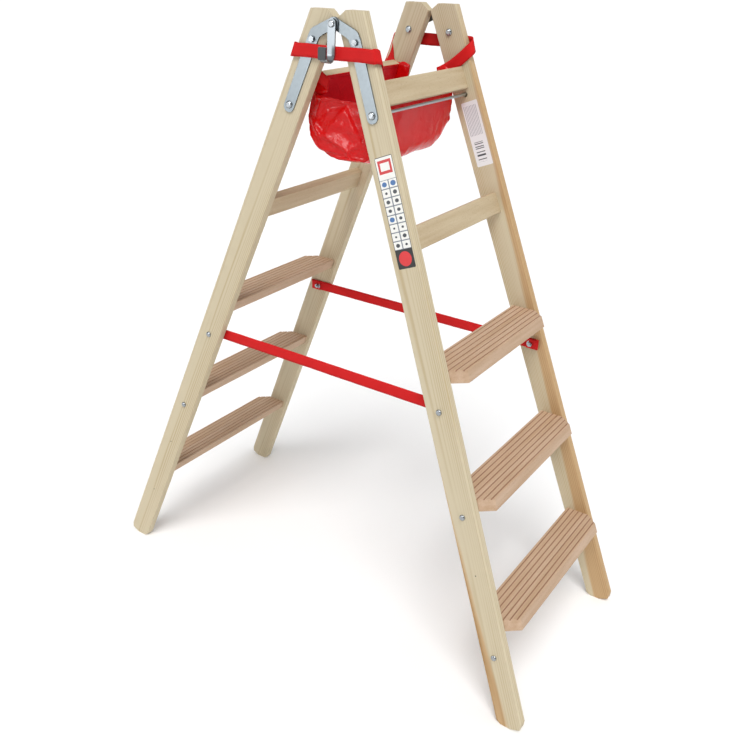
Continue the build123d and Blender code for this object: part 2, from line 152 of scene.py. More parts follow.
def sun(name, direction, strength, spread):
    """A soft distant light that shines along direction; spread is its angle in degrees."""
    lamp = new_object(name, bpy.data.lights.new(name, "SUN"))
    lamp.data.energy = strength
    lamp.data.angle = math.radians(spread)
    lamp.rotation_euler = Vector(direction).to_track_quat("-Z", "Y").to_euler()


sun("key_light", (0.48, 0.24, -0.84), 2.2, 30)
sun("fill_light", (-0.1, 0.9, -0.5), 0.4, 60)

# a narrow soft box level with the bag gives coated fabric and steel a highlight
SIDE_BOX_PLACE = Vector((-2.4, 1.0, 1.55))
BAG_MIDDLE = Vector((-0.1, 0.0, 1.18))
box_light = bpy.data.lights.new("side_box", "AREA")
box_light.energy = 20.0
box_light.shape = "RECTANGLE"
box_light.size = 0.3
box_light.size_y = 0.9
side_box = new_object("side_box", box_light)
side_box.location = SIDE_BOX_PLACE
side_box.rotation_euler = (BAG_MIDDLE - SIDE_BOX_PLACE).to_track_quat("-Z", "Y").to_euler()
side_box.visible_diffuse = False

# the room is white, with a greyer wall low behind the camera that the metal can mirror
world = bpy.data.worlds.new("studio_air")
world.use_nodes = True
air = world.node_tree
room = add_node(air, "ShaderNodeTexCoord").outputs["Generated"]
grey_side = add_node(air, "ShaderNodeVectorMath", {
    0: room, 1: (-0.62, -0.62, -0.25),
}, operation="DOT_PRODUCT")
wall_share = ranged(air, grey_side.outputs["Value"], 0.35, 0.75)
room_tone = blended(air, wall_share, "FFFFFF", "6E7276")
air.links.new(room_tone, air.nodes["Background"].inputs["Color"])
air.nodes["Background"].inputs["Strength"].default_value = 0.52
bpy.context.scene.world = world

floor_mesh = bpy.data.meshes.new("floor")
floor_mesh.from_pydata([(-60, -60, 0), (60, -60, 0), (60, 60, 0), (-60, 60, 0)], [], [(0, 1, 2, 3)])
floor = new_object("floor", floor_mesh)
floor.location.z = -0.0005
floor_paint, floor_tree, floor_shader = new_material("matt_floor_paint", Roughness=0.85)
floor_speckle = add_node(floor_tree, "ShaderNodeTexNoise", {"Scale": 3.0})
floor_tone = blended(floor_tree, floor_speckle.outputs["Fac"], "F8F8F8", "FBFBFB")
floor_tree.links.new(floor_tone, floor_shader.inputs["Base Color"])
floor_mesh.materials.append(floor_paint)


def wear(node, material):
    """Gives a CAD node its finish."""
    nodes[node].data.materials.clear()
    nodes[node].data.materials.append(material)


# --- Stiles -----------------------------------------------------------------
# Four planed softwood boards, 60 x 21 mm, unfinished. Each is cut from a plank that lay beside the
# heart of the tree, so the growth rings run along the board and open out where the plank is flat.
LEAN = math.radians(21.8)
SPLAY = 0.0662
PIVOT_Z = 1.3673
RING_PITCH = 3.6 * MM
FIBRE = 0.5 * MM
STREAK_WANDER = 0.018
WAVE_PERIOD = 0.314  # metres between bands of a wave texture of scale 1


def board_coordinates(tree, lean, splay, heart):
    """Object coordinates turned so that Z runs along the board, with the tree's heart at x = y = 0."""
    place = add_node(tree, "ShaderNodeTexCoord").outputs["Object"]
    turned = add_node(tree, "ShaderNodeMapping", {
        "Vector": place, "Rotation": (lean, splay, 0), "Location": (-heart[0], -heart[1], 0),
    })
    return turned.outputs["Vector"]


def stretched(tree, vector, scale):
    """The coordinates drawn out along one axis."""
    return add_node(tree, "ShaderNodeMapping", {"Vector": vector, "Scale": scale}).outputs["Vector"]


def softwood(name, lean, splay, heart, streak=None):
    """Planed pine: pale early wood with thin, slightly darker late-wood lines and fine fibres.
    streak is an orange-brown heartwood taper, as (place across the board, width at the foot, top)."""
    material, tree, shader = new_material(name, Roughness=0.62, Specular_IOR_Level=0.35)
    board = board_coordinates(tree, lean, splay, heart)
    long_grain = stretched(tree, board, (1, 1, 0.05))
    rings = add_node(tree, "ShaderNodeTexWave", {
        "Vector": long_grain, "Scale": WAVE_PERIOD / RING_PITCH, "Distortion": 6.5,
        "Detail": 2.0, "Detail Scale": 0.35, "Detail Roughness": 0.55,
    }, wave_type="RINGS", rings_direction="Z")
    late = ranged(tree, rings.outputs["Fac"], 0.45, 1.0)
    broad = add_node(tree, "ShaderNodeTexNoise", {"Vector": long_grain, "Scale": 28.0, "Detail": 3.0})
    strength = ranged(tree, broad.outputs["Fac"], 0.35, 0.66, 0.1, 0.7)
    amount = arithmetic(tree, "MULTIPLY", late, strength)
    ground = blended(tree, broad.outputs["Fac"], "D0C4A9", "C7B99B")
    result = blended(tree, amount, ground, "AC9365")
    if streak:
        centre, width, top = streak
        axes = add_node(tree, "ShaderNodeSeparateXYZ", {0: board})
        away = arithmetic(tree, "ABSOLUTE", arithmetic(tree, "SUBTRACT", axes.outputs["Y"], centre))
        taper = arithmetic(tree, "MULTIPLY_ADD", axes.outputs["Z"], width / top, away)
        wander = add_node(tree, "ShaderNodeTexNoise", {
            "Vector": stretched(tree, board, (1, 1, 0.04)), "Scale": 60.0, "Detail": 3.0,
        })
        wavy = arithmetic(tree, "MULTIPLY_ADD", wander.outputs["Fac"], STREAK_WANDER, taper)
        inside = ranged(tree, wavy, width + 0.005, width + 0.012, 0.85, 0.0)
        warm = blended(tree, amount, "BF9A6C", "94682F")
        result = blended(tree, inside, result, warm)
    tree.links.new(result, shader.inputs["Base Color"])
    fibres = add_node(tree, "ShaderNodeTexNoise", {
        "Vector": stretched(tree, board, (1, 1, 0.02)), "Scale": 0.5 / FIBRE, "Detail": 2.0,
    })
    bumped(tree, shader, fibres.outputs["Fac"], 0.12, 0.3 * MM)
    return material


# the heart of each plank, from the middle of its stile: (across, towards the climber)
STILE_HEARTS = {
    "front_left_stile": (0.030, -0.022),
    "front_right_stile": (0.006, 0.040),
    "rear_left_stile": (-0.035, 0.012),
    "rear_right_stile": (0.028, 0.018),
}
HALF_STILE = 0.030
STILE_MIDDLE = 0.1705  # from the middle of the ladder, level with the hinge
STILE_SETBACK = 0.0345  # from the line through the hinge to the middle of the board
# heartwood shows along one edge of two stiles: (towards the climber, width at the foot, top)
STILE_STREAKS = {
    "front_left_stile": (-HALF_STILE, 0.016, 0.45),
    "front_right_stile": (HALF_STILE, 0.034, 1.22),
}
HINGE_ARM = PIVOT_Z * math.sin(LEAN)
for stile, (across, outward) in STILE_HEARTS.items():
    front = stile.startswith("front")
    left = "left" in stile
    lean = LEAN if front else -LEAN
    splay = -SPLAY if left else SPLAY
    middle_x = (-1 if left else 1) * STILE_MIDDLE
    # after the turn the board lies at this x and y
    at_x = middle_x * math.cos(splay) + PIVOT_Z * math.cos(LEAN) * math.sin(splay)
    at_y = (-1 if front else 1) * (HINGE_ARM + STILE_SETBACK)
    heart = (at_x + across, at_y + (-outward if front else outward))
    streak = None
    if stile in STILE_STREAKS:
        streak_out, width, top = STILE_STREAKS[stile]
        streak = (outward - streak_out, width, top)
    wear(stile, softwood(f"{stile}_pine", lean, splay, heart, streak))


# --- Treads and rungs -------------------------------------------------------
# Planed beech, grain across the ladder. The treads have seven sawn grooves, with painted shade
# inside them that darkens towards their bottoms. Beech shows short dark flecks and almost no rings.
GROOVES = 7
GROOVE_PITCH = 11.8 * MM
GROOVE_FIRST = 6.0 * MM
GROOVE_HALF = 1.3 * MM
GROOVE_DEPTH = 2.2 * MM


def beech(name, light, dark, seed):
    """Planed beech with its grain along X. Returns the material, tree, shader and colour output."""
    material, tree, shader = new_material(name, Roughness=0.58, Specular_IOR_Level=0.35)
    place = add_node(tree, "ShaderNodeTexCoord").outputs["Object"]
    board = add_node(tree, "ShaderNodeMapping", {"Vector": place, "Location": (seed, seed * 0.37, 0)})
    drift = add_node(tree, "ShaderNodeTexNoise", {
        "Vector": stretched(tree, board.outputs[0], (0.06, 1, 1)), "Scale": 90.0, "Detail": 4.0,
    })
    flecks = add_node(tree, "ShaderNodeTexNoise", {
        "Vector": stretched(tree, board.outputs[0], (0.22, 1, 1)), "Scale": 900.0, "Detail": 1.0,
    })
    fleck = ranged(tree, flecks.outputs["Fac"], 0.6, 0.72, 0.0, 0.35)
    tone = ranged(tree, drift.outputs["Fac"], 0.3, 0.7)
    flecked = blended(tree, fleck, blended(tree, tone, light, dark), "8A6A50")
    bumped(tree, shader, drift.outputs["Fac"], 0.1, 0.3 * MM)
    tree.links.new(flecked, shader.inputs["Base Color"])
    return material, tree, shader, flecked


def grooved_beech(name, seed, inner_y, top_z, side):
    """Beech tread with painted shade inside its grooves, darker deeper down. side is -1 on the front
    frame and 1 on the rear.
    """
    material, tree, shader, wood = beech(name, "C4A88F", "B59678", seed)
    place = add_node(tree, "ShaderNodeTexCoord").outputs["Object"]
    split = add_node(tree, "ShaderNodeSeparateXYZ", {0: place})
    start = inner_y + side * (GROOVE_FIRST - GROOVE_PITCH / 2)
    run = arithmetic(tree, "SUBTRACT", split.outputs["Y"], start)
    count = arithmetic(tree, "MULTIPLY", run, side / GROOVE_PITCH)
    off = arithmetic(tree, "SUBTRACT", arithmetic(tree, "FRACT", count), 0.5)
    near = arithmetic(tree, "LESS_THAN", arithmetic(tree, "ABSOLUTE", off), GROOVE_HALF / GROOVE_PITCH)
    # painted shade: the groove walls turn darker with depth below the tread's top, towards 8A6248
    groove_shade = ranged(tree, split.outputs["Z"], top_z - 1.3 * MM, top_z - 0.1 * MM, 1.0, 0.0)
    shallow = arithmetic(tree, "GREATER_THAN", split.outputs["Z"], top_z - GROOVE_DEPTH)
    in_row = arithmetic(tree, "LESS_THAN", count, GROOVES)
    started = arithmetic(tree, "GREATER_THAN", count, 0.0)
    for limit in (near, shallow, in_row, started):
        groove_shade = arithmetic(tree, "MULTIPLY", groove_shade, limit)
    tree.links.new(blended(tree, groove_shade, wood, "8A6248"), shader.inputs["Base Color"])
    return material


for number, level in enumerate(("upper", "middle", "lower")):
    for frame_name, side in (("front", -1), ("rear", 1)):
        tread = f"{frame_name}_{level}_tread"
        low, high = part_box(tread)
        inner_y = high.y if side < 0 else low.y
        wear(tread, grooved_beech(f"{tread}_beech", 0.31 * number + 0.17 * side, inner_y, high.z, side))
for number, rung in enumerate((
    "front_top_rung", "front_second_rung", "rear_top_rung", "rear_second_rung",
)):
    wear(rung, beech(f"{rung}_beech", "C6B596", "B8A382", 0.53 * number + 0.2)[0])


# --- Steel fittings ---------------------------------------------------------
# Hinge leaves and bucket hook are pressed from zinc-plated sheet: a soft, cold, slightly mottled
# sheen. The dome nuts, bolts, rivets and rods are bright zinc; the nails are dull wire.
def zinc(name, code, roughness, mottle):
    """Zinc plate on steel; mottle is how much the roughness wanders."""
    material, tree, shader = new_material(name, Metallic=1.0)
    place = add_node(tree, "ShaderNodeTexCoord").outputs["Object"]
    cloud = add_node(tree, "ShaderNodeTexNoise", {"Vector": place, "Scale": 160.0, "Detail": 3.0})
    rough = ranged(tree, cloud.outputs["Fac"], 0.3, 0.7, roughness - mottle, roughness + mottle)
    shade = tuple(0.95 * c for c in colour(code)[:3]) + (1,)
    tree.links.new(rough, shader.inputs["Roughness"])
    tree.links.new(blended(tree, cloud.outputs["Fac"], code, shade), shader.inputs["Base Color"])
    grain = add_node(tree, "ShaderNodeTexNoise", {"Vector": place, "Scale": 900.0, "Detail": 1.0})
    bumped(tree, shader, grain.outputs["Fac"], 0.05, 0.1 * MM)
    return material


sheet_zinc = zinc("zinc_plated_sheet", "858D92", 0.42, 0.03)
hook_zinc = zinc("bright_zinc_strip", "989FA4", 0.32, 0.03)
bright_zinc = zinc("bright_zinc_plate", "A2A7AB", 0.25, 0.04)
rod_zinc = zinc("zinc_plated_rod", "AEB3B6", 0.34, 0.06)
nail_wire = zinc("dull_nail_wire", "6E6A64", 0.55, 0.08)
for node in nodes:
    if node.endswith("hinge_leaf"):
        wear(node, sheet_zinc)
    elif node == "bucket_hook":
        wear(node, hook_zinc)
    elif node.endswith("tie_rod"):
        wear(node, rod_zinc)
    elif node.endswith("nails"):
        wear(node, nail_wire)
    elif node.endswith(("nuts", "bolts", "washers", "rivet", "stile_bolt")):
        wear(node, bright_zinc)

# The lip of the hook is covered with a pad of dark grey moulded rubber that keeps a pail from
# scratching; its skin has a fine spark texture.
pad_rubber, rubber_tree, rubber_shader = new_material("moulded_grey_rubber", Roughness=0.6)
rubber_place = add_node(rubber_tree, "ShaderNodeTexCoord").outputs["Object"]
rubber_cloud = add_node(rubber_tree, "ShaderNodeTexNoise", {"Vector": rubber_place, "Scale": 700.0})
rubber_tone = blended(rubber_tree, rubber_cloud.outputs["Fac"], "34383B", "4A4F52")
rubber_tree.links.new(rubber_tone, rubber_shader.inputs["Base Color"])
bumped(rubber_tree, rubber_shader, rubber_cloud.outputs["Fac"], 0.2, 0.2 * MM)
wear("bucket_hook_pad", pad_rubber)


# --- Spreader straps --------------------------------------------------------
# Two lengths of 25 mm woven red webbing that stop the frames sliding apart. Each end is folded back
# on itself, sewn, and clamped under a washer on the inside of a stile.
RIB_PITCH = 1.7 * MM
THREAD_PITCH = 1.2 * MM


def woven_webbing(name, code, dark):
    """Plain-woven polyester tape, with ribs across it and threads along it, and painted shade darkening
    the hollows of the weave; UV is in metres.
    """
    material, tree, shader = new_material(name, Roughness=0.75, Specular_IOR_Level=0.2)
    uv = add_node(tree, "ShaderNodeTexCoord").outputs["UV"]
    ribs = add_node(tree, "ShaderNodeTexWave", {
        "Vector": uv, "Scale": WAVE_PERIOD / RIB_PITCH, "Distortion": 0.0,
    }, wave_type="BANDS", bands_direction="X")
    threads = add_node(tree, "ShaderNodeTexWave", {
        "Vector": uv, "Scale": WAVE_PERIOD / THREAD_PITCH, "Distortion": 0.0,
    }, wave_type="BANDS", bands_direction="Y")
    weave = arithmetic(tree, "MULTIPLY", ribs.outputs["Fac"], threads.outputs["Fac"])
    place = add_node(tree, "ShaderNodeTexCoord").outputs["Object"]
    fade = add_node(tree, "ShaderNodeTexNoise", {"Vector": place, "Scale": 35.0, "Detail": 3.0})
    ground = blended(tree, fade.outputs["Fac"], code, dark)
    # painted shade: where the weave is low, between ribs and threads, the red is darkened towards
    # 8E1217
    shade = ranged(tree, weave, 0.0, 1.0, 0.3, 0.0)
    tree.links.new(blended(tree, shade, ground, "8E1217"), shader.inputs["Base Color"])
    bumped(tree, shader, weave, 0.35, 0.25 * MM)
    return material


def finished(obj):
    """The object with its modifiers baked into one plain mesh."""
    bpy.context.view_layer.update()
    evaluated = obj.evaluated_get(bpy.context.evaluated_depsgraph_get())
    mesh = bpy.data.meshes.new_from_object(evaluated)
    obj.modifiers.clear()
    obj.data = mesh
    return obj


def meshed(name, shape, material=None):
    """A new object made of a bmesh, which is used up."""
    mesh = bpy.data.meshes.new(name)
    shape.to_mesh(mesh)
    shape.free()
    if material:
        mesh.materials.append(material)
    return new_object(name, mesh)


def smooth_run(points, steps):
    """Points along a Catmull-Rom curve through the given ones."""
    points = [Vector(p) for p in points]
    ends = [2 * points[0] - points[1], *points, 2 * points[-1] - points[-2]]
    run = []
    for i in range(1, len(ends) - 2):
        a, b, c, d = ends[i - 1:i + 3]
        for k in range(steps):
            t = k / steps
            run.append(0.5 * (
                2 * b + (c - a) * t + (2 * a - 5 * b + 4 * c - d) * t ** 2
                + (3 * b - a - 3 * c + d) * t ** 3
            ))
    return [*run, points[-1]]


def ribbon(name, rails, thick, material, steps=6, across=4, ripple=0.0):
    """A strip of webbing or fabric between two rails, given as (upper, lower) pairs in millimetres.
    ripple is a slight waviness of the strip, in millimetres."""
    upper = smooth_run([Vector(a) * MM for a, _ in rails], steps)
    lower = smooth_run([Vector(b) * MM for _, b in rails], steps)
    shape = bmesh.new()
    uv_layer = shape.loops.layers.uv.new("UVMap")
    rows, distance, spots = [], 0.0, {}
    for i, (a, b) in enumerate(zip(upper, lower)):
        if i:
            distance += ((a + b) / 2 - (upper[i - 1] + lower[i - 1]) / 2).length
        row = []
        for k in range(across + 1):
            place = a.lerp(b, k / across)
            wave = noise.noise_vector(place * 30) * ripple * MM
            corner = shape.verts.new(place + wave)
            spots[corner] = (distance, (a - b).length * k / across)
            row.append(corner)
        rows.append(row)
    for first, second in zip(rows, rows[1:]):
        for k in range(across):
            face = shape.faces.new((first[k], first[k + 1], second[k + 1], second[k]))
            face.smooth = True
            for loop in face.loops:
                loop[uv_layer].uv = spots[loop.vert]
    obj = meshed(name, shape, material)
    wall = obj.modifiers.new("thickness", "SOLIDIFY")
    wall.thickness = thick * MM
    wall.offset = 0
    wall.use_even_offset = False
    return finished(obj)


red_webbing = woven_webbing("red_polyester_webbing", "E11E1E", "D31618")
STRAP_Z = 676.9
STRAP_HALF = 12.5
STRAP_TILT = 0.8  # the strap leans with the stiles' inner faces


def strap_rails(side):
    """Rails of a spreader strap: flat on each stile, straight between, its ends folded back inside."""
    rails = []
    for y, x in (
        (-304, 204.4), (-318, 204.0), (-330, 204.2), (-332.5, 205.6), (-330, 207.2), (-318, 207.5),
        (-300, 207.2), (-270, 206.9), (-150, 206.6), (0, 206.4), (150, 206.6), (270, 206.9),
        (300, 207.2), (318, 207.5), (330, 207.2), (332.5, 205.6), (330, 204.2), (318, 204.0),
        (304, 204.4),
    ):
        rails.append((
            (side * (x - STRAP_TILT), y, STRAP_Z + STRAP_HALF),
            (side * (x + STRAP_TILT), y, STRAP_Z - STRAP_HALF),
        ))
    return rails


for name, side in (("left", -1), ("right", 1)):
    strap = ribbon(f"{name}_webbing_strap", strap_rails(side), 1.3, red_webbing, steps=4, ripple=0.5)
    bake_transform(strap)
    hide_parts(f"{name}_spreader_strap")


# --- Bag bands --------------------------------------------------------------
# A 25 mm band on each side carries the tool bag. It runs over the hinge leaves outside, round the
# outer edges of both stiles, and back along their inner faces, down to the corners of the bag.
BAND_TOP = 1330.5
BAND_LOW = 1305.5


OUTSIDE = (  # the run over the hinge leaves, from the rear edge to the middle
    ((190.4, 86, BAND_TOP - 1), (191.4, 94, BAND_LOW - 1)),
    ((190.4, 60, BAND_TOP - 0.5), (191.4, 64, BAND_LOW)),
    ((190.9, 34, BAND_TOP - 1), (191.2, 34, BAND_LOW - 0.5)),
)
SHORT_RETURN = (  # from a bag corner straight up to the edge of the stile
    ((151.0, 33, 1266), (151.0, 38, 1246)),
    ((160.5, 52, 1284), (161.0, 59, 1262)),
    ((163.0, 72, 1302), (164.3, 80, 1279)),
    ((164.2, 87, 1317), (165.4, 95, 1293)),
    ((168.5, 91.5, 1325), (169.5, 100, 1301)),
    ((177.0, 92.5, 1329), (178.0, 101, 1304)),
    ((186.5, 90.5, BAND_TOP), (188.0, 99, BAND_LOW)),
)
LOW_RETURN = (  # the same, but slack, so that it stands off the edge of the stile and hangs lower
    ((151.0, 33, 1266), (151.0, 38, 1246)),
    ((160.5, 54, 1279), (161.0, 61, 1257)),
    ((163.0, 76, 1297), (164.3, 83, 1272)),
    ((164.2, 91, 1311), (165.4, 98, 1285)),
    ((168.5, 98, 1319), (169.5, 106, 1293)),
    ((177.0, 99.5, 1324), (178.0, 107, 1298)),
    ((186.5, 95.0, 1328), (188.0, 103, 1302)),
)
LONG_RETURN = (  # slipped down the edge, twisted, and pulled forward along the stile
    ((152.0, 34, 1265), (152.0, 36, 1246)),
    ((162.8, 58, 1267), (163.6, 64, 1242)),
    ((165.4, 82, 1271), (167.2, 97, 1240)),
    ((166.0, 87, 1290), (169.4, 117, 1248)),
    ((166.8, 90.5, 1311), (178.0, 117, 1264)),
    ((174.0, 92.5, 1324), (187.0, 112, 1280)),
    ((184.5, 91, 1329), (191.8, 104, 1294)),
)


def band_rails(side):
    """Rails of a bag band from the bag's rear corner, round both stiles, to its front corner."""
    def placed(pairs, turn):
        return [tuple((side * x, turn * y, z) for x, y, z in pair) for pair in pairs]

    rear_return = SHORT_RETURN if side < 0 else LONG_RETURN
    front_return = SHORT_RETURN if side < 0 else LOW_RETURN
    middle = ((190.9, 0, BAND_TOP - 1.5), (190.9, 0, BAND_LOW - 1))
    return [
        *placed((*rear_return, *OUTSIDE, middle), 1),
        *reversed(placed((*front_return, *OUTSIDE), -1)),
    ]


for name, side in (("left", -1), ("right", 1)):
    band = ribbon(f"{name}_webbing_band", band_rails(side), 1.2, red_webbing, ripple=0.35)
    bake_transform(band)
    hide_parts(f"{name}_bag_band")


# --- Tool bag ---------------------------------------------------------------
# An open bag of red PVC-coated fabric, hung between the top rungs. Its long walls and bottom are
# one sheet; each end is folded in like a parcel and welded, which leaves a slanting flap and a
# puckered lower edge. The mouth has a turned hem.
BAG_END = 150.0
BAG_SECTION = (  # (y, z) of the long sheet, from the front hem under the bag to the rear hem
    (-64, 1263), (-70, 1249), (-77, 1228), (-79, 1198), (-77, 1160), (-74, 1130), (-60, 1114),
    (-32, 1109), (13, 1110), (50, 1120), (72, 1142), (85, 1172), (84, 1200), (75, 1230),
    (69, 1249), (64, 1265),
)
BAG_SHEET = 1.1
END_TOP = 1231.0  # the ends are cut lower than the walls
SCRIM_SHARE = 0.012  # of the bump; the crumpling makes the rest
BAG_STATIONS = 76
END_COLUMNS = 44
BAG_PINCH = 0.03
BAG_BELLY = 0.03
BAG_SAG = 3.0
WALL_PUCKER = 2.6
END_PUCKER = 2.2
END_DIP = 4.0


def bag_paint(name, code, dark, roughness):
    """PVC-coated fabric: glossy and crumpled, with the 1.5 mm scrim inside showing faintly."""
    material, tree, shader = new_material(
        name, Roughness=roughness, Specular_IOR_Level=0.22, Coat_Weight=0.04, Coat_Roughness=0.05,
    )
    place = add_node(tree, "ShaderNodeTexCoord").outputs["Object"]
    cloud = add_node(tree, "ShaderNodeTexNoise", {"Vector": place, "Scale": 14.0, "Detail": 3.0})
    ground = blended(tree, cloud.outputs["Fac"], code, dark)
    scrim = add_node(tree, "ShaderNodeTexWave", {
        "Vector": place, "Scale": WAVE_PERIOD / (1.5 * MM),
    }, wave_type="BANDS", bands_direction="Z")
    crumple = add_node(tree, "ShaderNodeTexNoise", {
        "Vector": place, "Scale": 38.0, "Detail": 4.0, "Roughness": 0.55, "Distortion": 0.6,
    })
    height = arithmetic(tree, "MULTIPLY_ADD", scrim.outputs["Fac"], SCRIM_SHARE, crumple.outputs["Fac"])
    tree.links.new(ground, shader.inputs["Base Color"])
    bumped(tree, shader, height, 0.6, 4 * MM)
    return material


def ridge(place, start, end, width):
    """1 on the line from start to end, fading to 0 width away."""
    start, end = Vector(start), Vector(end)
    along = end - start
    t = max(0.0, min(1.0, (place - start).dot(along) / along.length_squared))
    return math.exp(-((place - start - t * along).length / width) ** 2)


def puckers(place, amount):
    """Soft irregular buckling of coated fabric, as an offset."""
    big = noise.noise_vector(place * 16 + Vector((3.1, 0.7, 5.2)))
    small = noise.noise_vector(place * 55)
    return (big * 0.7 + small * 0.3) * amount


def gathers(place, nearness):
    """Tight little wrinkles beside a welded edge; nearness is 1 at the edge and 0 away from it."""
    return noise.noise_vector(place * 120) * 1.8 * MM * max(0.0, nearness)


# the folded end: its flap, whose corners are (y, z), and the creases that run from the flap
END_FLAP = ((-10, 1223), (50, 1156), (-19, 1130), (-56, 1152))
FLAP_STEP = 5.0
FLAP_HOLLOW = 4.5
END_CREASES = (
    ((62, 1231), (-60, 1228), 4.0, 3.0),
    ((50, 1156), (78, 1186), 4.0, 6.0),
    ((-56, 1152), (-76, 1188), 4.0, 6.0),
    ((-10, 1223), (30, 1212), -3.0, 5.0),
    ((-19, 1130), (-19, 1112), 4.0, 5.0),
    ((46, 1230), (62, 1196), 3.5, 5.0),
)


def flap_height(here):
    """The flap stands up from its edges and is slightly hollow in the middle."""
    depth = 1e9
    for i, corner in enumerate(END_FLAP):
        corner = Vector(corner)
        along = (Vector(END_FLAP[(i + 1) % len(END_FLAP)]) - corner).normalized()
        depth = min(depth, (here - corner).dot(Vector((along.y, -along.x))))
    step = max(0.0, min(1.0, depth / 3.0))
    hollow = max(0.0, min(1.0, depth / 24.0))
    return FLAP_STEP * step - FLAP_HOLLOW * hollow


def end_bulge(y, z, depth):
    """How far a folded end stands out at (y, z), in mm."""
    out = 5.0 * max(0.0, 1 - (y / 80) ** 2) * max(0.0, 1 - ((z - 1180) / 95) ** 2)
    here = Vector((y, z))
    out += depth * flap_height(here)
    for start, end, height, width in END_CREASES:
        out += depth * height * ridge(here, start, end, width)
    return out


def corner_lift(x, z):
    """The far lower corner is rounded up; the near one only a little."""
    span = 1215.0 - 1108.0
    share = max(0.0, min(1.0, (1215.0 - z) / span))
    lift = 44 * max(0.0, (x - 84) / 66) ** 2.2 + 10 * max(0.0, (-x - 110) / 40) ** 2
    return lift * share


def bag_shell():
    """The bag as one sheet, the long wall and a folded panel at each end, and its edge lines."""
    section = smooth_run([(0, y, z) for y, z in BAG_SECTION], 6)
    shape = bmesh.new()
    rows = []
    for i in range(BAG_STATIONS + 1):
        x = -BAG_END + 2 * BAG_END * i / BAG_STATIONS
        pinch = 1 - BAG_PINCH * (x / BAG_END) ** 2
        sag = BAG_SAG * (1 - (x / BAG_END) ** 2)
        row = []
        for point in section:
            z = point.z + corner_lift(x, point.z)
            held = max(0.0, min(1.0, (1264 - point.z) / 60))
            belly = 1 + BAG_BELLY * held * (1 - (x / BAG_END) ** 2)
            place = Vector((x, point.y * pinch * belly, z - sag * held)) * MM
            edge = 1 + 1.3 * max(0.0, 1 - (BAG_END - abs(x)) / 14)
            low = 1.6 if point.z < 1135 else 1.0
            place += puckers(place, WALL_PUCKER * MM) * held * edge * low
            place += gathers(place, 1 - (BAG_END - abs(x)) / 12) * held
            row.append(shape.verts.new(place))
        rows.append(row)
    for first, second in zip(rows, rows[1:]):
        for k in range(len(first) - 1):
            shape.faces.new((first[k], first[k + 1], second[k + 1], second[k]))
    columns = END_COLUMNS
    edges = {
        "near_weld": rows[0], "far_weld": rows[-1],
        "front_hem": [row[0] for row in rows], "rear_hem": [row[-1] for row in rows],
    }
    for row, side in ((rows[0], -1), (rows[-1], 1)):
        half = len(row) // 2
        first_line = sum(1 for corner in row[:half] if corner.co.z > END_TOP * MM)
        lines = []
        for k in range(first_line, half):
            front_edge, rear_edge = row[k], row[-1 - k]
            line = [front_edge]
            for j in range(1, columns):
                place = front_edge.co.lerp(rear_edge.co, j / columns)
                y, z = place.y / MM, place.z / MM
                out = end_bulge(y, z, 1.0 if side < 0 else 0.6)
                fade = min(1.0, j / 3, (columns - j) / 3, (half - k) / 3)
                dip = END_DIP * math.sin(math.pi * j / columns) if k == first_line else 0.0
                place = place + Vector((side * out * fade, 0, -dip)) * MM
                place += puckers(place + Vector((0, 0.4, 0)), END_PUCKER * MM) * fade
                line.append(shape.verts.new(place))
            line.append(rear_edge)
            lines.append(line)
        edges["near_end_hem" if side < 0 else "far_end_hem"] = lines[0]
        for first, second in zip(lines, lines[1:]):
            for j in range(columns):
                quad = (first[j], second[j], second[j + 1], first[j + 1])
                shape.faces.new(quad if side < 0 else quad[::-1])
        last, spare = lines[-1], row[half:len(row) - half]
        keel = [last[0], *spare, last[-1]]
        for j in range(columns):
            mid = keel[min(len(keel) - 1, round((j + 1) / columns * (len(keel) - 1)))]
            before = keel[min(len(keel) - 1, round(j / columns * (len(keel) - 1)))]
            corners = [last[j], before, mid, last[j + 1]]
            unique = []
            for corner in corners:
                if corner not in unique:
                    unique.append(corner)
            if len(unique) > 2:
                shape.faces.new(unique if side < 0 else unique[::-1])
    edges = {name: [corner.co / MM for corner in line] for name, line in edges.items()}
    bmesh.ops.remove_doubles(shape, verts=shape.verts, dist=0.02 * MM)
    bmesh.ops.recalc_face_normals(shape, faces=shape.faces)
    for face in shape.faces:
        face.smooth = True
    return meshed("red_tool_bag", shape), edges


bag, bag_edges = bag_shell()
red_pvc = bag_paint("red_pvc_coated_fabric", "D90C0F", "C6070A", 0.21)
# painted light: the inside of the sheet gets a paler red, as if lit, to lift the shade within the bag
lit_inside_pvc = bag_paint("red_pvc_inside_painted_lighter", "E8303F", "D51E2C", 0.34)
bag.data.materials.append(red_pvc)
bag.data.materials.append(lit_inside_pvc)
wall = bag.modifiers.new("sheet", "SOLIDIFY")
wall.thickness = BAG_SHEET * MM
wall.offset = 0
wall.material_offset = 1
smoother = bag.modifiers.new("smoother", "SUBSURF")
smoother.levels = smoother.render_levels = 1
finished(bag)


